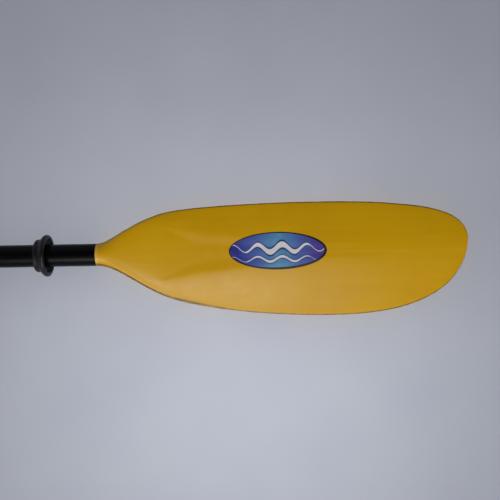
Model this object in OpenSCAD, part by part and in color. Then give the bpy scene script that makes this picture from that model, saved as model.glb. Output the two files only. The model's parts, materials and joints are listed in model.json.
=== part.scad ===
// Take-apart, adjustable single blade paddle.
// +X runs along the shaft to the blade's tip, +Y to the blade's short edge, +Z out of its power face.
// The origin is on the shaft's axis, at the middle of the bare upper tube.

/* [Shaft] */
// Outside diameter of both main tubes
shaft_d = 30; // [28:0.5:32]
// Wall of the tubes
wall = 1.3; // [1:0.1:1.6]
// Length of the tube that carries the blade
lower_len = 400; // [360:5:460]
// Bare length of the upper tube, between its two ends' fittings
bare_len = 325; // [300:5:380]

/* [Blade] */
// Length of the blade from its throat to its tip
blade_len = 496; // [470:2:530]
// Reach of the short edge from the shaft's axis
reach_short = 67; // [60:1:72]
// Reach of the long edge from the shaft's axis
reach_long = 87; // [78:1:92]
// Thickness of the blade's panel
panel_t = 5; // [4:0.5:7]
// Height that the tip curves up
tip_rise = 10; // [0:1:20]
// Fall of each side from the ridge, per millimetre
dihedral = 0.13; // [0.04:0.01:0.16]
// Length of the oval decal
label_l = 132; // [100:2:150]
// Width of the oval decal
label_w = 51; // [40:1:60]

/* [Drip ring] */
// Distance from the blade's throat back to the ring's rim
ring_back = 64; // [60:1:120]
// Diameter of the ring's rim
rim_d = 56; // [50:1:62]
// Diameter of the ring's small flange
flange_d = 44; // [40:1:46]

/* [Section joint] */
// Length of the ferrule inside the lower tube
ferrule_out = 110; // [90:5:130]
// Length of the ferrule inside the upper tube
ferrule_in = 60; // [50:5:70]
// Distance from the lower tube's end to the snap button
button_in = 17; // [15:0.5:17]
// Diameter of the snap button
button_d = 7.6; // [6:0.2:8]

/* [Handle] */
// Handle tube that shows when it is pushed right in
handle_out = 80; // [60:5:120]
// Furthest that the handle pulls out
handle_travel = 200; // [150:10:200]
// Width of the T-grip
grip_w = 116; // [100:2:130]
// Diameter of the T-grip's bar
grip_d = 30; // [26:1:34]

/* [Hidden] */
$fn = 64;

tube_r = shaft_d / 2;
bore_r = tube_r - wall;
joint_gap = 0.4;
bevel = 0.4;
joint_x = bare_len / 2;
lower_x = joint_x + joint_gap;
throat_x = lower_x + lower_len;

// Blade: two edges, each of three cubic curves, drawn for a 500 mm blade reaching 67 and 87 mm
long_k = blade_len / 500;
short_k = reach_short / 67;
wide_k = reach_long / 87;
tip = [500, 14];
short_edge = [
    [0, tube_r], [20, tube_r], [55, 50.5], [105, 57.5],
    [163, 66], [330, 70], [400, 62.5],
    [429, 59], [500, 56], tip
];
long_edge = [
    [0, -tube_r], [32, -tube_r], [60, -48.5], [105, -62.5],
    [161, -80], [260, -88.5], [330, -87],
    [424, -86], [496, -59], tip
];
ring_n = 44;
// How far the sections' points gather towards the spine, in degrees
gather = 17;
neck_steps = 14;
mid_steps = 9;
tip_steps = 12;
stations = [
    for (i = [0:neck_steps - 1]) i / neck_steps,
    for (i = [0:mid_steps - 1]) 1 + i / mid_steps,
    for (i = [0:tip_steps - 1]) 3 - pow(1 - i / tip_steps, 1.6)
];
// Over cone_len the blade thins from the tube to the panel; over neck_flat its round section turns flat
cone_len = 150;
neck_flat = 35;
spigot_r = bore_r - 0.1;
spigot_len = 90;
rivet_r = 1.6;
rivet_head_r = 3.2;
sink = 1;
blade_rivet_x = throat_x - 16;
blade_rivet_turns = [-125, 125];
label_x = 243;
label_y = 1;
label_steps = 16;
label_n = 28;
// Heights of the decal's underside and top over the face
label_lift = [0.15, 0.5];

// Drip ring
ring_r = tube_r + 0.05;
rim_x = throat_x - ring_back;
ring_len = 17;

// Section joint
ferrule_r = bore_r - 0.08;
ferrule_wall = 2;
ferrule_bore = ferrule_r - ferrule_wall;
ferrule_x0 = joint_x - ferrule_in;
ferrule_x1 = joint_x + ferrule_out;
ferrule_rivet_x = joint_x - 22;
ferrule_rivet_turns = [-90, 90];
o_ring_x = joint_x + 7;
o_ring_t = 0.72;
button_x = lower_x + button_in;
button_r = button_d / 2;
button_hole_r = button_r + 0.2;
button_top = tube_r + 1.6;
button_foot_r = 5.4;
button_foot_z = sqrt(pow(ferrule_bore, 2) - pow(button_foot_r, 2)) - 0.1;
button_foot_t = 1.4;
spring_t = 0.8;
spring_w = 6;
spring_len = 46;
spring_bend_z = -3;
bung_x = ferrule_x1 + 40;
bung_len = 30;

// Clamp on the upper tube's end
collar_x1 = -joint_x;
tube_grip = 25;
seat_r = tube_r - 0.25;
upper_x0 = collar_x1 - tube_grip;
collar_len = 58;
collar_x0 = collar_x1 - collar_len;
collar_r = 19;
handle_r = bore_r - 0.3;
collar_bore = handle_r + 0.3;
ear_x = collar_x0 + 17;
ear_l = 24;
ear_y = 24;
ear_t = 5.8;
slot_w = 2.4;
stud_r = 2;
washer_r = 5.5;
washer_t = 1;
nut_t = 5;
nut_r = 6.4;
lobe_r = 5.4;
lobe_shift = 0.6;
pin_r = 3;
ear_top = slot_w / 2 + ear_t;
pin_z = ear_top + washer_t + lobe_r + lobe_shift + 0.2;
lever_w = 15;
fork_w = 6.4;
lever_gap = 0.7;
lever_t = 3.2;

// Handle
handle_wall = 1.5;
grip_x = collar_x0 - handle_out;
socket_len = 34;
socket_r = handle_r + 3.6;
bar_x = grip_x - socket_len - 8;
handle_x0 = grip_x - socket_len + 4;
overlap = 70;
handle_x1 = upper_x0 + handle_travel + overlap;
guide_len = 8;
grip_pin_x = grip_x - 14;
grip_pin_r = 2;

// A point on a cubic curve
function bez(a, b, c, d, t) =
    a * pow(1 - t, 3) + 3 * b * t * pow(1 - t, 2) + 3 * c * t * t * (1 - t) + d * pow(t, 3);
// A point on a chain of three curves, s from 0 to 3
function chain(h, s) =
    let (i = min(floor(s), 2))
    bez(h[3 * i], h[3 * i + 1], h[3 * i + 2], h[3 * i + 3], s - i);
function mix(a, b, t) = a + (b - a) * t;
// 0 before a, 1 after b, and smooth between
function ease(a, b, x) =
    let (t = max(0, min(1, (x - a) / (b - a))))
    t * t * (3 - 2 * t);

// The blade's edges, in its own frame with x from the throat
function short_side(s) = let (p = chain(short_edge, s)) [p[0] * long_k, s == 0 ? p[1] : p[1] * short_k];
function long_side(s) = let (p = chain(long_edge, s)) [p[0] * long_k, s == 0 ? p[1] : p[1] * wide_k];

// The trough along the power face: half of its crests' spacing, half of its floor's width, and its depth
function crest(x) = lookup(x, [[90, 37], [132, 30], [180, 24], [300, 11]]);
function trough_floor(x) = lookup(x, [[90, 32], [132, 11], [180, 7], [300, 2]]);
function trough_depth(x) = lookup(x, [[80, 0], [130, 1.15], [200, 1.1], [300, 0.5], [450, 0]]);
// Middle surface: level between the crests, then turning down to both sides, and rising to the tip
function middle(x, y) =
    let (u = abs(y) - crest(x), turn_w = mix(11, 20, ease(120, 300, x)))
    tip_rise * pow(max(0, x - 60) / (blade_len - 60), 2)
    - dihedral * ease(20, 120, x) * (u + sqrt(u * u + turn_w * turn_w)) / 2;
// Half of the thickness, whose side s is 0 at an edge and 1 at the middle
function half_t(x, s) =
    mix(tube_r, panel_t / 2, ease(0, cone_len, x)) * pow(s, mix(1, 0.4, ease(0, neck_flat, x)));
// The round spine that carries on from the shaft along the back
function spine(x, y) =
    let (v = min(1, abs(y) / (tube_r - 7 * x / 340)))
    7.5 * ease(0, 120, x) * (1 - ease(120, 400, x)) * pow(1 - v * v, 1.5);
function face_z(x, y, s) =
    middle(x, y) + half_t(x, s) - trough_depth(x) * (1 - ease(trough_floor(x), crest(x), abs(y)));
function back_z(x, y, s) = middle(x, y) - half_t(x, s) - spine(x, y);
// One point of a section's ring, where turn is 0 at the short edge and 180 at the long edge
function section_point(s, turn) =
    let (
        a = turn + gather * ease(0, 1, s) * sin(2 * turn),
        p = mix(long_side(s), short_side(s), (1 + cos(a)) / 2),
        side = abs(sin(a))
    )
    [p[0], p[1], sin(a) >= 0 ? face_z(p[0], p[1], side) : back_z(p[0], p[1], side)];

// Closes rings of n points into one skin
module skin(rings, n) {
    last = len(rings) - 1;
    polyhedron(
        points = [for (r = rings, p = r) p],
        faces = [
            [for (k = [0:n - 1]) k],
            [for (k = [n - 1:-1:0]) last * n + k],
            for (i = [0:last - 1], k = [0:n - 1])
                [i * n + k, (i + 1) * n + k, (i + 1) * n + (k + 1) % n, i * n + (k + 1) % n]
        ]
    );
}

// A cylinder along +X from x0 to x1
module rod(r, x0, x1) {
    translate([x0, 0, 0]) rotate([0, 90, 0]) cylinder(r = r, h = x1 - x0);
}

// A rod whose ends are bevelled
module bevelled_rod(r, x0, x1, b = bevel) {
    h = x1 - x0;
    translate([x0, 0, 0]) rotate([0, 90, 0])
    rotate_extrude()
    polygon([[0, 0], [r - b, 0], [r, b], [r, h - b], [r - b, h], [0, h]]);
}

// A tube along +X, bevelled outside at both ends
module pipe(r_out, r_in, x0, x1) {
    difference() {
        bevelled_rod(r_out, x0, x1);
        rod(r_in, x0 - 1, x1 + 1);
    }
}

// Places children at x on the tube, standing out along each turn about its axis
module around(x, turns) {
    for (a = turns)
        translate([x, 0, 0]) rotate([a, 0, 0]) children();
}

// A domed blind rivet along +Z, from foot to its head on the tube
module domed_rivet(foot) {
    translate([0, 0, foot]) cylinder(r = rivet_r, h = tube_r + 0.8 - foot);
    difference() {
        translate([0, 0, tube_r - 1]) cylinder(r1 = rivet_head_r, r2 = rivet_head_r - 1, h = 2.1);
        rod(tube_r, -5, 5);
    }
}

// A flush rivet, whose sunk head follows the tube
module flush_rivet(foot) {
    intersection() {
        union() {
            translate([0, 0, foot]) cylinder(r = rivet_r, h = tube_r);
            translate([0, 0, tube_r - sink])
                cylinder(r1 = rivet_r, r2 = rivet_r + 1.4 * sink, h = 1.4 * sink);
        }
        rod(tube_r - 0.02, -5, 5);
    }
}

module rivet_hole() {
    cylinder(r = rivet_r + 0.05, h = tube_r + 2);
}

module sunk_hole() {
    rivet_hole();
    translate([0, 0, tube_r - sink])
        cylinder(r1 = rivet_r + 0.05, r2 = rivet_r + 0.05 + 2 * sink, h = 2 * sink);
}

module blade() {
    color("gold")
    translate([throat_x, 0, 0])
    difference() {
        union() {
            skin([for (s = stations) [for (k = [0:ring_n - 1]) section_point(s, 360 * k / ring_n)]], ring_n);
            rod(spigot_r, -spigot_len, 6);
        }
        around(blade_rivet_x - throat_x, blade_rivet_turns)
            translate([0, 0, 8]) cylinder(r = rivet_r + 0.05, h = tube_r);
    }
}

// One section of the decal across the blade, at turn t round its oval
function label_ring(t) = [
    for (k = [0:label_n - 1])
        let (
            a = 360 * (k + 0.5) / label_n,
            x = label_x - label_l / 2 * cos(t),
            y = label_y + label_w / 2 * sin(t) * cos(a)
        )
        [x, y, face_z(x, y, 1) + label_lift[sin(a) > 0 ? 1 : 0]]
];

module blade_label() {
    color("steelblue")
    translate([throat_x, 0, 0])
    skin([for (i = [0:label_steps - 1]) label_ring(180 * (i + 0.5) / label_steps)], label_n);
}

module blade_rivets() {
    color("silver") around(blade_rivet_x, blade_rivet_turns) domed_rivet(8.2);
}

module lower_tube() {
    color("black")
    difference() {
        pipe(tube_r, bore_r, lower_x, throat_x);
        translate([button_x, 0, 0]) cylinder(r = button_hole_r, h = tube_r + 2);
        around(blade_rivet_x, blade_rivet_turns) rivet_hole();
    }
}

module lower_bung() {
    color("dimgray") rod(bore_r - 0.1, bung_x, bung_x + bung_len);
}

// A soft ring: a round flange behind, and a cup that opens towards the blade with a thick lip
module drip_ring() {
    rim_r = rim_d / 2;
    flange_r = flange_d / 2;
    lip = 3;
    bead = 2.5;
    depth = 10.5;
    color("dimgray")
    translate([rim_x, 0, 0]) rotate([0, 90, 0])
    rotate_extrude($fn = 96)
    union() {
        polygon([
            [ring_r, -ring_len], [flange_r - bead, -ring_len], [flange_r - 1, bead + 0.5 - ring_len],
            [rim_r - 0.8, -lip - 2], [rim_r - 2 * lip + 0.4, -lip - 1.2],
            [tube_r + 3, -depth], [ring_r, -depth]
        ]);
        translate([flange_r - bead, bead - ring_len]) circle(r = bead, $fn = 32);
        translate([rim_r - lip, -lip]) circle(r = lip, $fn = 32);
    }
}

module ferrule() {
    color("slategray")
    difference() {
        pipe(ferrule_r, ferrule_bore, ferrule_x0, ferrule_x1);
        translate([button_x, 0, 0]) cylinder(r = button_hole_r, h = tube_r + 2);
        around(ferrule_rivet_x, ferrule_rivet_turns) rivet_hole();
        translate([o_ring_x, 0, 0]) rotate([0, 90, 0])
            rotate_extrude()
            translate([ferrule_r - 2 * o_ring_t, -1]) square([4, 2]);
    }
}

module ferrule_cap() {
    color("black")
    union() {
        rod(ferrule_bore, ferrule_x1 - 12, ferrule_x1);
        translate([ferrule_x1, 0, 0]) rotate([0, 90, 0])
            cylinder(r1 = ferrule_r - 0.2, r2 = ferrule_r - 2.5, h = 4);
    }
}

module ferrule_o_ring() {
    color("black")
    translate([o_ring_x, 0, 0]) rotate([0, 90, 0])
    rotate_extrude()
    translate([ferrule_r + 0.02 - o_ring_t, 0]) circle(r = o_ring_t, $fn = 24);
}

module ferrule_rivets() {
    color("silver") around(ferrule_rivet_x, ferrule_rivet_turns) flush_rivet(ferrule_bore - 0.8);
}

// A strip of even thickness along a line of points, as an outline
function strip(line, t) =
    let (
        n = len(line) - 1,
        side = [
            for (i = [0:n])
                let (d = line[min(i + 1, n)] - line[max(i - 1, 0)])
                [-d[1], d[0]] * t / 2 / norm(d)
        ]
    )
    [for (i = [0:n]) line[i] + side[i], for (i = [n:-1:0]) line[i] - side[i]];

// A bent leaf: its upper arm carries the button, its lower arm lies in the ferrule
module button_spring() {
    top_z = button_foot_z - button_foot_t - spring_t / 2 - 0.05;
    low_z = -sqrt(pow(ferrule_bore, 2) - pow(spring_w / 2, 2)) + spring_t / 2 + 0.1;
    bend_x = button_x + spring_len;
    bend_r = 2;
    line = [
        [button_x - 5, top_z], [button_x + 6, top_z], [button_x + 8, top_z - 0.3],
        for (a = [75:-15:-75]) [bend_x + bend_r * cos(a), spring_bend_z + bend_r * sin(a)],
        [button_x + 12, low_z + 0.3], [button_x + 9, low_z], [button_x - 5, low_z]
    ];
    color("silver")
    translate([0, spring_w / 2, 0]) rotate([90, 0, 0])
    linear_extrude(spring_w) polygon(strip(line, spring_t));
}

module snap_button() {
    dome = 1.2;
    foot_low = button_foot_z - button_foot_t;
    color("silver")
    translate([button_x, 0, 0])
    rotate_extrude()
    polygon([
        [0, foot_low], [button_foot_r, foot_low], [button_foot_r, button_foot_z], [button_r, button_foot_z],
        for (a = [0:15:90]) [button_r - dome * (1 - cos(a)), button_top - dome * (1 - sin(a))],
        [0, button_top]
    ]);
}

module upper_tube() {
    color("black")
    difference() {
        union() {
            bevelled_rod(tube_r, collar_x1, joint_x);
            rod(seat_r, upper_x0, collar_x1 + 1);
        }
        rod(bore_r, upper_x0 - 1, joint_x + 1);
        around(ferrule_rivet_x, ferrule_rivet_turns) sunk_hole();
    }
}

// A sleeve fixed on the upper tube, whose slotted end squeezes the handle tube
module clamp_collar() {
    color("black")
    difference() {
        union() {
            bevelled_rod(collar_r, collar_x0, collar_x1, 1.5);
            translate([ear_x - ear_l / 2, 10, -ear_top]) cube([ear_l, ear_y - 10, 2 * ear_top]);
            translate([ear_x, ear_y, -ear_top]) intersection() {
                cylinder(r = ear_l / 2, h = 2 * ear_top);
                translate([-ear_l / 2, -1, 0]) cube([ear_l, 7.5, 2 * ear_top]);
            }
        }
        rod(seat_r, upper_x0, collar_x1 + 1);
        rod(collar_bore, collar_x0 - 1, upper_x0 + 1);
        translate([collar_x0 - 1, 5, -slot_w / 2]) cube([upper_x0 - 3 - collar_x0, 40, slot_w]);
        translate([upper_x0 - 4, 5, 0]) rotate([-90, 0, 0]) cylinder(r = slot_w / 2 + 0.8, h = 16);
        translate([ear_x, ear_y, -20]) cylinder(r = stud_r + 0.2, h = 40);
    }
}

module clamp_washer() {
    color("silver")
    translate([ear_x, ear_y, ear_top])
    difference() {
        cylinder(r = washer_r, h = washer_t);
        translate([0, 0, -1]) cylinder(r = stud_r + 0.2, h = washer_t + 2);
    }
}

module clamp_stud() {
    color("silver")
    translate([ear_x, ear_y, -ear_top - nut_t - 2])
        cylinder(r = stud_r, h = ear_top + nut_t + 2 + pin_z + pin_r - 0.6);
}

// A thumb nut with a scalloped rim
module clamp_nut() {
    scallops = 8;
    color("silver")
    translate([ear_x, ear_y, -ear_top - nut_t])
    difference() {
        cylinder(r = nut_r, h = nut_t);
        translate([0, 0, -1]) cylinder(r = stud_r, h = nut_t + 2);
        for (k = [0:scallops - 1])
            rotate([0, 0, 360 * k / scallops]) translate([nut_r + 1.1, 0, -1]) cylinder(r = 2, h = nut_t + 2);
    }
}

// The cross pin that the stud pulls on and the lever turns about
module lever_pin() {
    color("silver")
    difference() {
        translate([ear_x, ear_y, pin_z]) rotate([0, 90, 0])
            cylinder(r = pin_r, h = lever_w + 1, center = true);
        translate([ear_x, ear_y, 0]) cylinder(r = stud_r, h = pin_z + pin_r - 0.6);
    }
}

// A forked lever that wraps over the collar, with a lobe on each side of the stud
module clamp_lever() {
    inner = collar_r + lever_gap;
    outer = inner + lever_t;
    reach = 168;
    root = 48;
    steps = 18;
    color("dimgray")
    translate([ear_x, 0, 0])
    difference() {
        rotate([90, 0, 90])
        translate([0, 0, -lever_w / 2])
        linear_extrude(lever_w)
        union() {
            translate([ear_y, pin_z - lobe_shift]) circle(r = lobe_r);
            polygon([
                for (k = [0:steps])
                    let (a = mix(root, reach, k / steps)) outer * [cos(a), sin(a)],
                (outer + 3) * [cos(reach + 4), sin(reach + 4)],
                (outer + 1) * [cos(reach + 7), sin(reach + 7)],
                for (k = [0:steps])
                    let (a = mix(reach + 2, root, k / steps)) inner * [cos(a), sin(a)]
            ]);
            polygon([
                inner * [cos(root + 4), sin(root + 4)],
                [ear_y - 3.4, pin_z - 4.2],
                [ear_y + 1, pin_z + 4.7],
                outer * [cos(root + 6), sin(root + 6)]
            ]);
        }
        translate([0, ear_y, pin_z]) rotate([0, 90, 0]) {
            cylinder(r = pin_r + 0.08, h = lever_w + 2, center = true);
            cylinder(r = lobe_r + 2.6, h = fork_w, center = true);
        }
    }
}

module handle_tube() {
    color("silver")
    difference() {
        pipe(handle_r, handle_r - handle_wall, handle_x0, handle_x1);
        translate([grip_pin_x, 0, -20]) cylinder(r = grip_pin_r + 0.05, h = 40);
    }
}

module handle_guide() {
    color("black")
    union() {
        rod(handle_r - handle_wall - 0.05, handle_x1 - 14, handle_x1);
        rod(bore_r - 0.1, handle_x1, handle_x1 + guide_len);
    }
}

// The bar's radius at y from its middle: a slight waist, a swell near each end, then a round end
function bar_r(y) =
    let (half = grip_w / 2, u = abs(y) / half, end = grip_d / 2)
    u > 0.8 ? end * sqrt(max(0.0001, 1 - pow((u - 0.8) / 0.2, 2))) : end * (0.94 + 0.06 * ease(0.2, 0.8, u));

module t_grip() {
    half = grip_w / 2;
    steps = 40;
    ys = [for (k = [0:steps]) -half * cos(180 * k / steps)];
    color("black")
    difference() {
        union() {
            rod(socket_r, grip_x - socket_len, grip_x);
            hull() {
                rod(socket_r, grip_x - socket_len + 2, grip_x - 14, $fn = 32);
                translate([bar_x + 3, 0, 0]) scale([0.5, 2.2, 0.84]) sphere(r = grip_d / 2 - 0.6, $fn = 32);
            }
            translate([bar_x, 0, 0]) rotate([-90, 0, 0])
                rotate_extrude()
                polygon([[0, -half], for (y = ys) [bar_r(y), y], [0, half]]);
        }
        rod(handle_r + 0.05, handle_x0, grip_x + 1);
        translate([grip_pin_x, 0, -20]) cylinder(r = grip_pin_r, h = 40);
    }
}

module grip_pin() {
    color("silver") translate([grip_pin_x, 0, 0.5 - socket_r]) cylinder(r = grip_pin_r, h = 2 * socket_r - 1);
}

blade();
blade_label();
blade_rivets();
lower_tube();
lower_bung();
drip_ring();
ferrule();
ferrule_cap();
ferrule_o_ring();
ferrule_rivets();
button_spring();
snap_button();
upper_tube();
clamp_collar();
clamp_washer();
clamp_stud();
clamp_nut();
lever_pin();
clamp_lever();
handle_tube();
handle_guide();
t_grip();
grip_pin();
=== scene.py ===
import json
import math

import bmesh
import bpy
import numpy as np
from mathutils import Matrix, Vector
from mathutils.bvhtree import BVHTree


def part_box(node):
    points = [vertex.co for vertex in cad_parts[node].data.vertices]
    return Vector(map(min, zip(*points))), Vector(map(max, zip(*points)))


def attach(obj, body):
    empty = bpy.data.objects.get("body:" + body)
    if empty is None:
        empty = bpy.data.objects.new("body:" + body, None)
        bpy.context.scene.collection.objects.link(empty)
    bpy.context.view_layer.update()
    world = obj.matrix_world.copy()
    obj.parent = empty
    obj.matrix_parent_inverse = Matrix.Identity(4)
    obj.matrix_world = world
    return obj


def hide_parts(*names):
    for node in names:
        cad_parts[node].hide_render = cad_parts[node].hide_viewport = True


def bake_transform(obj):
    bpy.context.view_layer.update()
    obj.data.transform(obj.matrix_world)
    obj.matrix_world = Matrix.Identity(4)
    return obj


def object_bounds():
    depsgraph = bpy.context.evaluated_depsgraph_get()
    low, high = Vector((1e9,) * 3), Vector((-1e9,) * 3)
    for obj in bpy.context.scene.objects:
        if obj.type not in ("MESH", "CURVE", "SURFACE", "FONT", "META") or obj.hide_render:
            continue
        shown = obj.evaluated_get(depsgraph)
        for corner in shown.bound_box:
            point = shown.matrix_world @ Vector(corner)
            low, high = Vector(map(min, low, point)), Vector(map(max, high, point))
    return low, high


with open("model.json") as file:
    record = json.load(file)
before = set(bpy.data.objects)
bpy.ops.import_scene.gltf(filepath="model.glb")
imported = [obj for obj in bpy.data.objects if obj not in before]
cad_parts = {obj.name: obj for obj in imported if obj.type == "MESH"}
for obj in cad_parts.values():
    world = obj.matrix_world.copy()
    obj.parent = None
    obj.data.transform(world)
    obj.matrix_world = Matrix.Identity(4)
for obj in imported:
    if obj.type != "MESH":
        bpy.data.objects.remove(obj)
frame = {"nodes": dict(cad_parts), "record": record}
cad_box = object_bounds()
MM = 0.001

# Places and sizes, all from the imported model
TUBE_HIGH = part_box("lower_tube")[1]
THROAT_X = TUBE_HIGH.x
TUBE_R = TUBE_HIGH.z
BLADE_LOW, BLADE_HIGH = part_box("blade")
BLADE_LEN = BLADE_HIGH.x - THROAT_X
SPIGOT_X = BLADE_LOW.x
LABEL_LOW, LABEL_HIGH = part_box("blade_label")
LABEL_MID = (LABEL_LOW + LABEL_HIGH) / 2
LABEL_HALF = (LABEL_HIGH - LABEL_LOW) / 2
RING_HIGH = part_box("drip_ring")[1]
FLOOR_Z = cad_box[0][2]


# ---------------------------------------------------------------- mesh helpers

def new_object(name, verts, faces, smooth=True, sharp=35):
    """A mesh object; edges sharper than the angle given, in degrees, stay sharp."""
    mesh = bpy.data.meshes.new(name)
    mesh.from_pydata([tuple(v) for v in verts], [], [tuple(f) for f in faces])
    mesh.validate()
    mesh.update()
    bm = bmesh.new()
    bm.from_mesh(mesh)
    bmesh.ops.recalc_face_normals(bm, faces=bm.faces)
    bm.to_mesh(mesh)
    bm.free()
    if smooth:
        mesh.shade_smooth()
        mesh.set_sharp_from_angle(angle=math.radians(sharp))
    obj = bpy.data.objects.new(name, mesh)
    bpy.context.scene.collection.objects.link(obj)
    return obj


def loft(name, rings, **kw):
    """A skin through rings of equally many points, closed at both ends."""
    n = len(rings[0])
    verts = [p for ring in rings for p in ring]
    faces = []
    for i in range(len(rings) - 1):
        for k in range(n):
            k2 = (k + 1) % n
            faces.append((i * n + k, (i + 1) * n + k, (i + 1) * n + k2, i * n + k2))
    faces.append(tuple(range(n)))
    faces.append(tuple(reversed(range((len(rings) - 1) * n, len(rings) * n))))
    return new_object(name, verts, faces, **kw)


def rounded(points, radii, steps=5):
    """A closed outline whose corners are turned with the radii given."""
    out = []
    n = len(points)
    for i in range(n):
        p = np.array(points[i], float)
        a = np.array(points[i - 1], float) - p
        b = np.array(points[(i + 1) % n], float) - p
        la, lb = np.linalg.norm(a), np.linalg.norm(b)
        r = radii[i]
        if r <= 0:
            out.append(p)
            continue
        a, b = a / la, b / lb
        half = math.acos(max(-1, min(1, float(a @ b)))) / 2
        cut = min(r / math.tan(half), 0.49 * la, 0.49 * lb)
        for k in range(steps + 1):
            t = k / steps
            q = (1 - t) ** 2 * (p + a * cut) + 2 * t * (1 - t) * p + t * t * (p + b * cut)
            out.append(q)
    return out


def store(obj, name, values):
    """One number per vertex, for the material."""
    obj.data.attributes.new(name, "FLOAT", "POINT").data.foreach_set("value", values)


def turned(name, outline, n=160, **kw):
    """A closed outline of (x, r) points in metres, turned about the X axis."""
    verts, faces = [], []
    m = len(outline)
    for k in range(n):
        a = 2 * math.pi * k / n
        for x, r in outline:
            verts.append((x, r * math.cos(a), r * math.sin(a)))
    for k in range(n):
        k2 = (k + 1) % n
        for i in range(m):
            i2 = (i + 1) % m
            faces.append((k * m + i, k * m + i2, k2 * m + i2, k2 * m + i))
    return new_object(name, verts, faces, **kw)


# ---------------------------------------------------------------- materials

class Mat:
    """A material's node tree, built up with short calls."""

    def __init__(self, name):
        self.mat = bpy.data.materials.new(name)
        self.mat.use_nodes = True
        self.tree = self.mat.node_tree
        self.bsdf = self.tree.nodes["Principled BSDF"]
        self.coord = self.tree.nodes.new("ShaderNodeTexCoord")

    def set(self, **values):
        for key, value in values.items():
            self.bsdf.inputs[key.replace("_", " ")].default_value = value

    def node(self, kind, **attrs):
        n = self.tree.nodes.new("ShaderNode" + kind)
        for key, value in attrs.items():
            setattr(n, key, value)
        return n

    def link(self, a, b):
        self.tree.links.new(a, b)

    def feed(self, socket, value):
        if hasattr(value, "links"):
            self.link(value, socket)
        else:
            socket.default_value = value

    def mapped(self, scale):
        """The object's own coordinates, scaled axis by axis."""
        m = self.node("Mapping")
        m.inputs["Scale"].default_value = scale
        self.link(self.coord.outputs["Object"], m.inputs["Vector"])
        return m.outputs["Vector"]

    def noise(self, scale, detail=3.0, rough=0.5, vector=None):
        n = self.node("TexNoise")
        n.inputs["Scale"].default_value = scale
        n.inputs["Detail"].default_value = detail
        n.inputs["Roughness"].default_value = rough
        self.link(vector or self.coord.outputs["Object"], n.inputs["Vector"])
        return n.outputs["Fac"]

    def attribute(self, name):
        n = self.node("Attribute", attribute_name=name)
        return n.outputs["Fac"]

    def remap(self, value, a, b, c, d, smooth=False):
        """The range a to b, stretched onto c to d and held at its ends."""
        n = self.node("MapRange")
        if smooth:
            n.interpolation_type = "SMOOTHSTEP"
        self.feed(n.inputs["Value"], value)
        for key, v in zip(("From Min", "From Max", "To Min", "To Max"), (a, b, c, d)):
            n.inputs[key].default_value = v
        return n.outputs["Result"]

    def math(self, op, a, b=0.0, c=0.0):
        n = self.node("Math", operation=op)
        self.feed(n.inputs[0], a)
        self.feed(n.inputs[1], b)
        self.feed(n.inputs[2], c)
        return n.outputs[0]

    def mix(self, fac, a, b):
        n = self.node("Mix", data_type="RGBA")
        self.feed(n.inputs[0], fac)
        self.feed(n.inputs[6], a)
        self.feed(n.inputs[7], b)
        return n.outputs[2]

    def ramp(self, value, stops):
        n = self.node("ValToRGB")
        self.link(value, n.inputs["Fac"])
        els = n.color_ramp.elements
        while len(els) < len(stops):
            els.new(0.5)
        for el, (pos, colour) in zip(els, stops):
            el.position = pos
            el.color = colour
        return n.outputs["Color"]

    def axes(self):
        n = self.node("SeparateXYZ")
        self.link(self.coord.outputs["Object"], n.inputs[0])
        return n.outputs[0], n.outputs[1], n.outputs[2]

    def bump(self, height, distance, strength=1.0, after=None):
        n = self.node("Bump")
        n.inputs["Distance"].default_value = distance
        n.inputs["Strength"].default_value = strength
        self.link(height, n.inputs["Height"])
        if after is not None:
            self.link(after, n.inputs["Normal"])
        return n.outputs["Normal"]

    def done(self, colour=None, rough=None, normal=None):
        if colour is not None:
            self.link(colour, self.bsdf.inputs["Base Color"])
        if rough is not None:
            self.link(rough, self.bsdf.inputs["Roughness"])
        if normal is not None:
            self.link(normal, self.bsdf.inputs["Normal"])
        return self.mat


def srgb(r, g, b):
    """An sRGB colour, 0 to 255, as the linear colour that Blender uses."""
    def lin(c):
        c /= 255
        return c / 12.92 if c <= 0.04045 else ((c + 0.055) / 1.055) ** 2.4
    return (lin(r), lin(g), lin(b), 1.0)


# The brown line of painted shade along the blade's edge: full up to the first distance and gone at the
# second, in mm
EDGE_SHADE_FULL, EDGE_SHADE_GONE = 0.9, 2.3
# The painted highlight, a pale band on the lip where the plastic starts at the tube, in metres from the
# throat
LIP_HIGHLIGHT_FULL, LIP_HIGHLIGHT_GONE = 1.5 * MM, 5.5 * MM
# Near the throat the painted shade on the long edge is wider; that fades out between these distances, in
# metres
WIDE_EDGE_SHADE_FULL, WIDE_EDGE_SHADE_GONE = 0.12, 0.2


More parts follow.
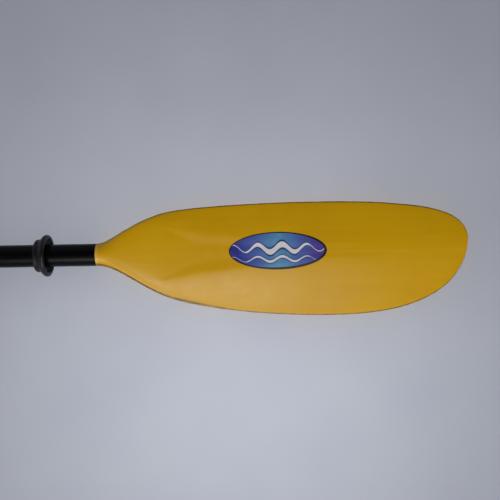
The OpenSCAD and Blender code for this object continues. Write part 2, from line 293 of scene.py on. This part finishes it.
def blade_material():
    """Moulded plastic with streaks of flow and a fine grain, a brown line of painted shade along the edge
    and a pale painted highlight on the lip at the tube.
    """
    m = Mat("blade_plastic")
    m.set(Specular_IOR_Level=0.35)
    soft = m.noise(9, 2.0)
    flow = m.noise(1.0, 4.0, 0.55, m.mapped((7, 120, 60)))
    cloud = m.noise(55, 4.0, 0.6)
    base = m.mix(m.remap(soft, 0.3, 0.7, 0, 1, True), srgb(218, 164, 0), srgb(223, 171, 0))
    base = m.mix(m.remap(flow, 0.35, 0.75, 0, 0.35), base, srgb(210, 152, 0))
    base = m.mix(m.remap(cloud, 0.45, 0.75, 0, 0.14), base, srgb(230, 182, 8))
    # random patches, which break up the painted edge shade and the painted lip highlight
    patchy = m.remap(m.noise(120, 3.0), 0.35, 0.65, 0.6, 0.95)
    x, y, _ = m.axes()
    # painted shade: a brown line along the blade's edges, wider on the long edge near the throat
    near_neck = m.remap(x, THROAT_X + WIDE_EDGE_SHADE_FULL, THROAT_X + WIDE_EDGE_SHADE_GONE, 1, 0, True)
    long_side = m.remap(y, 0, -12 * MM, 0, 1)
    depth = m.math("MULTIPLY_ADD", m.math("MULTIPLY", near_neck, long_side), 1.3, 1.0)
    edge_shade = m.remap(m.math("DIVIDE", m.attribute("from_edge"), depth), EDGE_SHADE_FULL, EDGE_SHADE_GONE, 1, 0, True)
    edge_shade = m.math("MULTIPLY", edge_shade, patchy)
    # painted highlight: a pale band across the shoulder at the throat
    lip_highlight = m.math("MULTIPLY", m.remap(x, THROAT_X + LIP_HIGHLIGHT_FULL, THROAT_X + LIP_HIGHLIGHT_GONE, 0.6, 0, True), patchy)
    base = m.mix(lip_highlight, base, srgb(232, 196, 104))
    base = m.mix(edge_shade, base, srgb(98, 68, 24))
    rough = m.remap(cloud, 0.3, 0.7, 0.29, 0.36)
    grain = m.noise(1500, 2.0)
    ripple = m.noise(38, 2.0)
    normal = m.bump(grain, 0.00003, 0.35)
    normal = m.bump(ripple, 0.0006, 0.12, normal)
    return m.done(base, rough, normal)


# Half of the length of the decal's waves, and of its range of blues, in mm
WAVE_REACH = 44
BLUE_REACH = 66


def wave(m, u, v, height, swell, length, stroke, phase=0.4):
    """How far a point is from a running wave line, in strokes, thinning out to its ends."""
    angle = m.math("MULTIPLY_ADD", u, 2 * math.pi / length, phase)
    line = m.math("MULTIPLY", m.math("SINE", angle), swell)
    away = m.math("ABSOLUTE", m.math("SUBTRACT", m.math("SUBTRACT", v, height), line))
    taper = m.math("SQRT", m.remap(m.math("ABSOLUTE", u), 0, WAVE_REACH, 1, 0.02))
    return m.math("DIVIDE", away, m.math("MULTIPLY", taper, stroke))


def decal_material():
    """A printed oval: blue to violet along its length, two pale waves, and a dark border."""
    m = Mat("decal")
    m.set(IOR=1.45)
    x, y, _ = m.axes()
    u = m.math("MULTIPLY", m.math("SUBTRACT", x, LABEL_MID.x), 1000)
    v = m.math("MULTIPLY", m.math("SUBTRACT", y, LABEL_MID.y), 1000)
    blue = m.ramp(m.remap(u, -BLUE_REACH, BLUE_REACH, 0, 1), [
        (0.0, srgb(34, 30, 132)), (0.1, srgb(40, 38, 142)), (0.3, srgb(76, 104, 180)),
        (0.5, srgb(92, 158, 196)), (0.72, srgb(78, 102, 176)), (0.9, srgb(78, 56, 150)),
        (1.0, srgb(84, 52, 130)),
    ])
    blue = m.mix(m.remap(m.noise(90, 3.0), 0.35, 0.7, 0, 0.3), blue, srgb(62, 88, 170))
    upper = wave(m, u, v, height=3.5, swell=5.0, length=33, stroke=4.2)
    lower = wave(m, u, v, height=-11.0, swell=3.4, length=33, stroke=1.9)
    near = m.math("MINIMUM", upper, lower)
    colour = m.mix(m.remap(near, 1.5, 1.85, 0.85, 0, True), blue, srgb(24, 26, 66))
    colour = m.mix(m.remap(near, 0.92, 1.1, 1, 0, True), colour, srgb(226, 224, 236))
    # the border is 1.5 mm wide at the upper left and 3.6 mm at the lower right
    border = m.remap(m.math("SUBTRACT", m.math("MULTIPLY", u, 0.5), v), -20, 34, 1.5, 3.6, True)
    inward = m.math("DIVIDE", m.attribute("from_edge"), border)
    colour = m.mix(m.remap(inward, 0.85, 1.0, 1, 0, True), colour, srgb(20, 18, 30))
    rough = m.remap(m.noise(300, 2.0), 0.3, 0.7, 0.34, 0.42)
    return m.done(colour, rough)


def tube_material(name, colour, light, rough, metal=0.0):
    """A drawn tube: fine lines along it, small scuffs and rubbed patches."""
    m = Mat(name)
    m.set(Specular_IOR_Level=0.5 if metal else 0.1, Metallic=metal)
    lines = m.noise(1.0, 3.0, 0.6, m.mapped((14, 900, 900)))
    patch = m.noise(26, 4.0, 0.6)
    scuff = m.noise(420, 2.0, 0.7, m.mapped((0.35, 1, 1)))
    wear = m.math("MULTIPLY", m.remap(patch, 0.52, 0.72, 0, 1), m.remap(scuff, 0.56, 0.7, 0, 1))
    base = m.mix(m.math("MULTIPLY", wear, 0.35), colour, light)
    r = m.remap(lines, 0.3, 0.7, rough - 0.04, rough + 0.06)
    r = m.math("ADD", r, m.math("MULTIPLY", wear, 0.2))
    return m.done(base, r, m.bump(lines, 0.00002, 0.25))


def moulded_material(name, colour, light, rough, grain=900):
    """A moulded plastic or rubber with a fine eroded texture."""
    m = Mat(name)
    m.set(Specular_IOR_Level=0.35)
    big = m.noise(60, 3.0)
    fine = m.noise(grain, 3.0, 0.6)
    base = m.mix(m.remap(big, 0.35, 0.75, 0, 0.5), colour, light)
    r = m.remap(big, 0.3, 0.7, rough - 0.05, rough + 0.06)
    return m.done(base, r, m.bump(fine, 0.00005, 0.5))


def steel_material():
    """Brushed steel."""
    m = Mat("steel")
    m.set(Metallic=1.0)
    brushed = m.noise(1.0, 4.0, 0.6, m.mapped((2500, 300, 300)))
    base = m.mix(m.remap(brushed, 0.3, 0.7, 0, 1), srgb(150, 150, 153), srgb(196, 196, 198))
    return m.done(base, m.remap(brushed, 0.3, 0.7, 0.24, 0.4), m.bump(brushed, 0.00001, 0.3))


MATERIALS = {
    "blade_plastic": blade_material(),
    "decal": decal_material(),
    "black_tube": tube_material("black_tube", srgb(4, 4, 6), srgb(38, 39, 44), 0.3),
    "silver_tube": tube_material("silver_tube", srgb(176, 178, 182), srgb(206, 208, 210), 0.34, 0.9),
    "soft_ring": moulded_material("soft_ring", srgb(9, 9, 11), srgb(26, 27, 31), 0.4, 500),
    "black_plastic": moulded_material("black_plastic", srgb(24, 24, 26), srgb(40, 40, 43), 0.45),
    "grey_plastic": moulded_material("grey_plastic", srgb(66, 68, 72), srgb(84, 86, 90), 0.42),
    "foam": moulded_material("foam", srgb(50, 50, 53), srgb(70, 70, 74), 0.85, 1600),
    "ferrule_sleeve": moulded_material(
        "ferrule_sleeve", srgb(62, 66, 68), srgb(84, 88, 90), 0.4, 2200),
    "steel": steel_material(),
}
SLOT_OF = {s["node"]: s["material_slot"] for s in frame["record"]["subparts"]}


def finish_piece(obj, node, body):
    """A new piece that stands for one CAD node."""
    slot = SLOT_OF[node]
    obj.data.materials.clear()
    obj.data.materials.append(MATERIALS[slot])
    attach(obj, body)
    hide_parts(node)


# ---------------------------------------------------------------- blade

SHORT_EDGE = [
    (0, 15), (20, 15), (55, 50.5), (105, 57.5),
    (163, 66), (330, 70), (400, 62.5),
    (429, 59), (500, 56), (500, 14),
]
LONG_EDGE = [
    (0, -15), (32, -15), (60, -48.5), (105, -62.5),
    (161, -80), (260, -88.5), (330, -87),
    (424, -86), (496, -59), (500, 14),
]
# The curves above are drawn for a blade of this length, from its throat to its tip
DRAWN_LEN = 500
NECK_R = 15
PANEL_T = 5.0
SPIGOT_R = 13.6
TIP_RISE = 10.0
# Fall of each side from the ridge, per millimetre
DIHEDRAL = 0.13
# Over CONE_LEN the blade thins from the tube to the panel; over NECK_FLAT its round section turns flat
CONE_LEN = 150
NECK_FLAT = 35
SPINE_HEIGHT = 7.5
# How far the sections' points gather towards the middle of the blade, in degrees
GATHER = 15
BLADE_POINTS = 220


def ease(a, b, x):
    """A smooth step from 0 at a to 1 at b."""
    t = np.clip((x - a) / (b - a), 0, 1)
    return t * t * (3 - 2 * t)


def lerp(a, b, t):
    return a + (b - a) * t


def chain(handles, s):
    """Points on a chain of three cubic curves, s from 0 to 3."""
    h = np.array(handles, float)
    out = []
    for v in s:
        i = min(int(v), 2)
        t = v - i
        a, b, c, d = h[3 * i:3 * i + 4]
        left = a * (1 - t) ** 3 + 3 * b * t * (1 - t) ** 2
        out.append(left + 3 * c * t * t * (1 - t) + d * t ** 3)
    return np.array(out)


def crest(x):
    """Half of the spacing of the crests beside the trough."""
    return np.interp(x, (90, 132, 180, 300), (37, 30, 24, 11))


def trough(x, y):
    """Depth of the shallow trough between the crests."""
    floor = np.interp(x, (90, 132, 180, 300), (32, 11, 7, 2))
    depth = np.interp(x, (80, 130, 200, 300, 450), (0, 1.15, 1.1, 0.5, 0))
    return depth * (1 - ease(floor, crest(x), np.abs(y)))


def middle(x, y):
    """Height of the middle of the panel: it curves up to the tip and falls away from the ridge."""
    rise = TIP_RISE * (np.maximum(0, x - 60) / (BLADE_LEN / MM - 60)) ** 2
    u = np.abs(y) - crest(x)
    soft = lerp(11, 20, ease(120, 300, x))
    return rise - DIHEDRAL * ease(20, 120, x) * (u + np.sqrt(u * u + soft * soft)) / 2


def half_thickness(x, s):
    """Half of the thickness; s is 0 at the edges and 1 halfway between them."""
    return lerp(NECK_R, PANEL_T / 2, ease(0, CONE_LEN, x)) * s ** lerp(1, 0.4, ease(0, NECK_FLAT, x))


def back_spine(x, y):
    """Height of the spine down the middle of the back."""
    v = np.minimum(1, np.abs(y) / (NECK_R - 7 * x / 340))
    return SPINE_HEIGHT * ease(0, 120, x) * (1 - ease(120, 400, x)) * (1 - v * v) ** 1.5


def build_blade():
    # the stations crowd towards the throat and the tip, where the outline turns most
    stations = np.concatenate([
        np.linspace(0, 1, 90, endpoint=False) ** 1.1,
        np.linspace(1, 2, 100, endpoint=False),
        3 - (1 - np.linspace(0, 1, 70, endpoint=False)) ** 1.7,
    ])
    turn = np.linspace(0, 2 * math.pi, BLADE_POINTS, endpoint=False)
    stretch = BLADE_LEN / (DRAWN_LEN * MM)
    short = chain(SHORT_EDGE, stations) * (stretch, 1)
    long = chain(LONG_EDGE, stations) * (stretch, 1)
    rings, from_edge = [], []
    for i, s in enumerate(stations):
        gather = math.radians(GATHER) * float(ease(0, 1, s))
        a = turn + gather * np.sin(2 * turn)
        p = lerp(long[i], short[i], (1 + np.cos(a))[:, None] / 2)
        x, y = p[:, 0], p[:, 1]
        side = np.abs(np.sin(a))
        mid, half = middle(x, y), half_thickness(x, side)
        z = np.where(np.sin(a) >= 0, mid + half - trough(x, y), mid - half - back_spine(x, y))
        rings.append(np.stack([x, y, z], 1))
        from_edge += list((1 - np.abs(np.cos(a))) / 2 * np.linalg.norm(short[i] - long[i]))
    # the spigot in the tube, and a small round on the shoulder that meets the tube:
    # each ring is the root's section at x, scaled by k
    root, spigot_k = rings[0], SPIGOT_R / NECK_R
    back = (SPIGOT_X - THROAT_X) / MM
    lead = [root * (1, k, k) + (x, 0, 0) for x, k in (
        (back, spigot_k - 0.1), (back + 2, spigot_k), (0.02, spigot_k), (0.02, 0.955), (0.25, 0.99),
    )]
    rings[0] = root + (0.8, 0, 0)
    rings = lead + rings
    # any distance beyond the reach of the painted shade along the edge
    inland = 9
    from_edge = [inland] * len(lead) * BLADE_POINTS + from_edge
    rings = [r * MM + (THROAT_X, 0, 0) for r in rings]
    blade = loft("blade_shell", rings, sharp=50)
    store(blade, "from_edge", from_edge)
    finish_piece(blade, "blade", "blade_section")
    return blade


def surface_above(obj):
    """A function that gives the height of a mesh's top at x, y."""
    tree = BVHTree.FromObject(obj, bpy.context.evaluated_depsgraph_get())

    def height(x, y):
        hit = tree.ray_cast(Vector((x, y, 1.0)), Vector((0, 0, -1)))
        return hit[0].z
    return height


# The decal's underside and face, in mm from the blade's surface
LABEL_UNDER = -0.2
LABEL_FACE = 0.16
LABEL_POINTS = 160


def build_label(blade):
    """A thin oval that follows the blade: ovals of the same centre, under it and over it."""
    height = surface_above(blade)
    inner = [d * MM for d in np.arange(0.5, LABEL_HALF.y / MM - 0.3, 0.5)]
    under = [(d, LABEL_UNDER) for d in reversed(inner)] + [(0, LABEL_UNDER)]
    over = [(0, LABEL_FACE - 0.04), (0.15 * MM, LABEL_FACE)] + [(d, LABEL_FACE) for d in inner]
    rings, from_edge = [], []
    for inset, lift in under + over:
        ring = []
        for k in range(LABEL_POINTS):
            t = 2 * math.pi * k / LABEL_POINTS
            x = LABEL_MID.x + (LABEL_HALF.x - inset) * math.cos(t)
            y = LABEL_MID.y + (LABEL_HALF.y - inset) * math.sin(t)
            ring.append((x, y, height(x, y) + lift * MM))
            from_edge.append(inset / MM)
        rings.append(ring)
    label = loft("blade_decal", rings, sharp=60)
    store(label, "from_edge", from_edge)
    finish_piece(label, "blade_label", "blade_section")


# ---------------------------------------------------------------- drip ring

# Gap between the ring and the tube, in mm
RING_GAP = 0.05


def build_drip_ring():
    """The ring's half section, turned: x in mm from the front of its box, then the radius."""
    bore = TUBE_R / MM + RING_GAP
    outline = [
        (-17, bore), (-17, 19), (-16.6, 21.6), (-13.2, 22), (-11.6, 20.9), (-5.5, 27.2),
        (-3, 28.4), (0.2, 27.2), (0.2, 23.2), (-3.4, 22.3), (-10.2, 18.2), (-10.6, bore),
    ]
    radii = [0.5, 1.2, 2.4, 1.6, 0.8, 2.0, 3, 2.6, 2.6, 2.0, 2.2, 0.4]
    section = [(RING_HIGH.x + x * MM, r * MM) for x, r in rounded(outline, radii)]
    ring = turned("drip_ring_body", section, sharp=60)
    finish_piece(ring, "drip_ring", "ring")


# ---------------------------------------------------------------- the CAD's own pieces, rounded or reshaped

# Width of the small round on each piece's edges, in mm
SOFT_EDGES = {
    "clamp_collar": 0.7, "clamp_lever": 0.6, "clamp_nut": 0.35, "clamp_washer": 0.2,
    "clamp_stud": 0.3, "lever_pin": 0.4, "handle_guide": 0.6, "ferrule_cap": 0.5,
    "grip_pin": 0.4, "blade_rivets": 0.3, "handle_tube": 0.3, "lower_bung": 1.0,
}


def soften(node, width):
    """A small round on a CAD piece's edges."""
    mod = frame["nodes"][node].modifiers.new("edge_round", "BEVEL")
    mod.width = width * MM
    mod.segments = 3
    mod.limit_method = "ANGLE"
    mod.angle_limit = math.radians(40)


def copy_of(node, name):
    """A copy of a CAD piece, as an object of its own."""
    obj = bpy.data.objects.new(name, frame["nodes"][node].data.copy())
    bpy.context.scene.collection.objects.link(obj)
    return obj


def build_grip():
    """The moulded grip, whose socket flows into its bar."""
    grip = copy_of("t_grip", "t_grip_moulding")
    remesh = grip.modifiers.new("remesh", "REMESH")
    remesh.mode = "VOXEL"
    remesh.voxel_size = 1.0 * MM
    remesh.use_smooth_shade = True
    smooth = grip.modifiers.new("smooth", "SMOOTH")
    smooth.factor = 0.5
    smooth.iterations = 14
    finish_piece(grip, "t_grip", "handle")


def build_spring():
    """The leaf spring: a steel copy of the CAD's spring, with its place baked into its mesh."""
    spring = copy_of("button_spring", "button_leaf_spring")
    spring.data.materials.clear()
    spring.data.materials.append(MATERIALS["steel"])
    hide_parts("button_spring")
    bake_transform(spring)


def dress_cad():
    """Rounds and materials for the CAD's own pieces."""
    for node, width in SOFT_EDGES.items():
        soften(node, width)
    for node, obj in frame["nodes"].items():
        obj.data.materials.clear()
        obj.data.materials.append(MATERIALS[SLOT_OF[node]])


# ---------------------------------------------------------------- stage

FLOOR_HALF = 24.0
FLOOR_GAP = 0.5 * MM
# The point that the lights are placed from: its distance from the throat, in metres
LIGHTS_FROM = 0.2
# Two factors of the world's strength, by a direction's height: from, to, value at from, value at to
OVERHEAD = (0.2, 0.85, 0.6, 0.05)
HORIZON = (0.0, 0.3, 0.4, 1.0)
WARM = (1.0, 0.98, 0.94)
SOFT_WARM = (1.0, 0.99, 0.97)
HANDLE_WARM = (1.0, 0.99, 0.96)
HANDLE_COOL = (0.98, 0.99, 1.0)
COOL = (0.97, 0.98, 1.0)


def build_stage():
    """A large floor of plain pale paper, just under the paddle."""
    h = FLOOR_HALF
    corners = [(-h, -h, 0), (h, -h, 0), (h, h, 0), (-h, h, 0)]
    floor = new_object("floor", corners, [(0, 1, 2, 3)], smooth=False)
    floor.location.z = FLOOR_Z - FLOOR_GAP
    m = Mat("floor")
    paper = m.noise(6, 3.0)
    fine = m.noise(500, 2.0)
    colour = m.mix(m.remap(paper, 0.3, 0.7, 0, 1), srgb(196, 199, 210), srgb(202, 205, 214))
    m.set(Roughness=0.85)
    floor.data.materials.append(m.done(colour, None, m.bump(fine, 0.00005, 0.3)))
    return floor


def group(name, objects):
    out = bpy.data.collections.new(name)
    for obj in objects:
        out.objects.link(obj)
    return out


def area_light(name, at, aim, size, power, colour, lights, blockers=None, spread=180):
    """A soft panel that lights one set of objects, with shadows from one set or from everything."""
    mid = Vector((THROAT_X + LIGHTS_FROM, 0, 0))
    at, aim = mid + Vector(at), mid + Vector(aim)
    data = bpy.data.lights.new(name, "AREA")
    data.shape = "RECTANGLE"
    data.size, data.size_y = size
    data.energy = power
    data.color = colour
    data.spread = math.radians(spread)
    obj = bpy.data.objects.new(name, data)
    obj.location = at
    obj.rotation_euler = (aim - at).to_track_quat("-Z", "Y").to_euler()
    obj.visible_camera = False
    bpy.context.scene.collection.objects.link(obj)
    obj.light_linking.receiver_collection = lights
    if blockers:
        obj.light_linking.blocker_collection = blockers


def build_lights(floor):
    """Panels for the paddle and panels for the floor, so that each can be matched on its own."""
    pieces = [o for o in bpy.context.scene.objects if o.type == "MESH" and o is not floor]
    object_set, floor_set = group("object_set", pieces), group("floor_set", [floor])
    area_light("key", (-0.25, -1.2, 1.03), (0, 0, 0), (1.0, 0.7), 12.2, WARM, object_set)
    area_light("sheen", (-0.05, -0.53, 1.42), (0, 0, 0), (0.34, 0.2), 3.8, SOFT_WARM, object_set)
    area_light("table_light", (-0.014, -0.196, 0.57), (-0.014, -0.196, 0), (0.08, 0.08), 2.1, COOL,
               floor_set, floor_set)
    # the handle's end has its own panels, whose narrow spread keeps them off the blade
    area_light("handle_key", (-1.1, -0.55, 0.75), (-1.2, 0, 0), (0.4, 0.3), 1.7, HANDLE_WARM,
               object_set, spread=72)
    area_light("handle_sheen", (-1.1, 0.35, 0.8), (-1.15, 0, 0), (0.5, 0.15), 0.9, HANDLE_COOL,
               object_set, spread=72)
    area_light("handle_table_light", (-1.1, -0.1, 0.6), (-1.1, -0.1, 0), (0.3, 0.2), 0.45, COOL,
               floor_set, floor_set, spread=95)
    area_light("room_light", (-0.6, 0, 4.0), (-0.6, 0, 0), (8, 8), 40, COOL, floor_set, floor_set)


def build_world():
    """A cool sky that is dim near the horizon and dim again straight overhead."""
    world = bpy.data.worlds.new("world")
    bpy.context.scene.world = world
    world.use_nodes = True
    tree = world.node_tree
    background = tree.nodes["Background"]
    coord = tree.nodes.new("ShaderNodeTexCoord")
    split = tree.nodes.new("ShaderNodeSeparateXYZ")
    overhead = tree.nodes.new("ShaderNodeMapRange")
    horizon = tree.nodes.new("ShaderNodeMapRange")
    tree.links.new(coord.outputs["Generated"], split.inputs[0])
    for ramp, limits in ((overhead, OVERHEAD), (horizon, HORIZON)):
        tree.links.new(split.outputs["Z"], ramp.inputs["Value"])
        for key, v in zip(("From Min", "From Max", "To Min", "To Max"), limits):
            ramp.inputs[key].default_value = v
    product = tree.nodes.new("ShaderNodeMath")
    product.operation = "MULTIPLY"
    tree.links.new(overhead.outputs["Result"], product.inputs[0])
    tree.links.new(horizon.outputs["Result"], product.inputs[1])
    tree.links.new(product.outputs[0], background.inputs["Strength"])
    background.inputs["Color"].default_value = (0.9, 0.93, 1.0, 1)
    bpy.context.scene.view_settings.view_transform = "Standard"


def build_camera():
    """Straight above the blade, with the shaft leaving the picture at the left."""
    data = bpy.data.cameras.new("camera")
    data.sensor_width = 36
    data.lens = 48.2
    data.clip_start = 0.01
    data.dof.use_dof = False
    cam = bpy.data.objects.new("camera", data)
    cam.location = (THROAT_X + 0.2058, 0.00265, 0.9)
    cam.rotation_euler = (0, 0, math.radians(-1.07))
    bpy.context.scene.collection.objects.link(cam)
    bpy.context.scene.camera = cam


build_camera()
dress_cad()
blade = build_blade()
build_label(blade)
build_drip_ring()
build_grip()
build_spring()
build_lights(build_stage())
build_world()
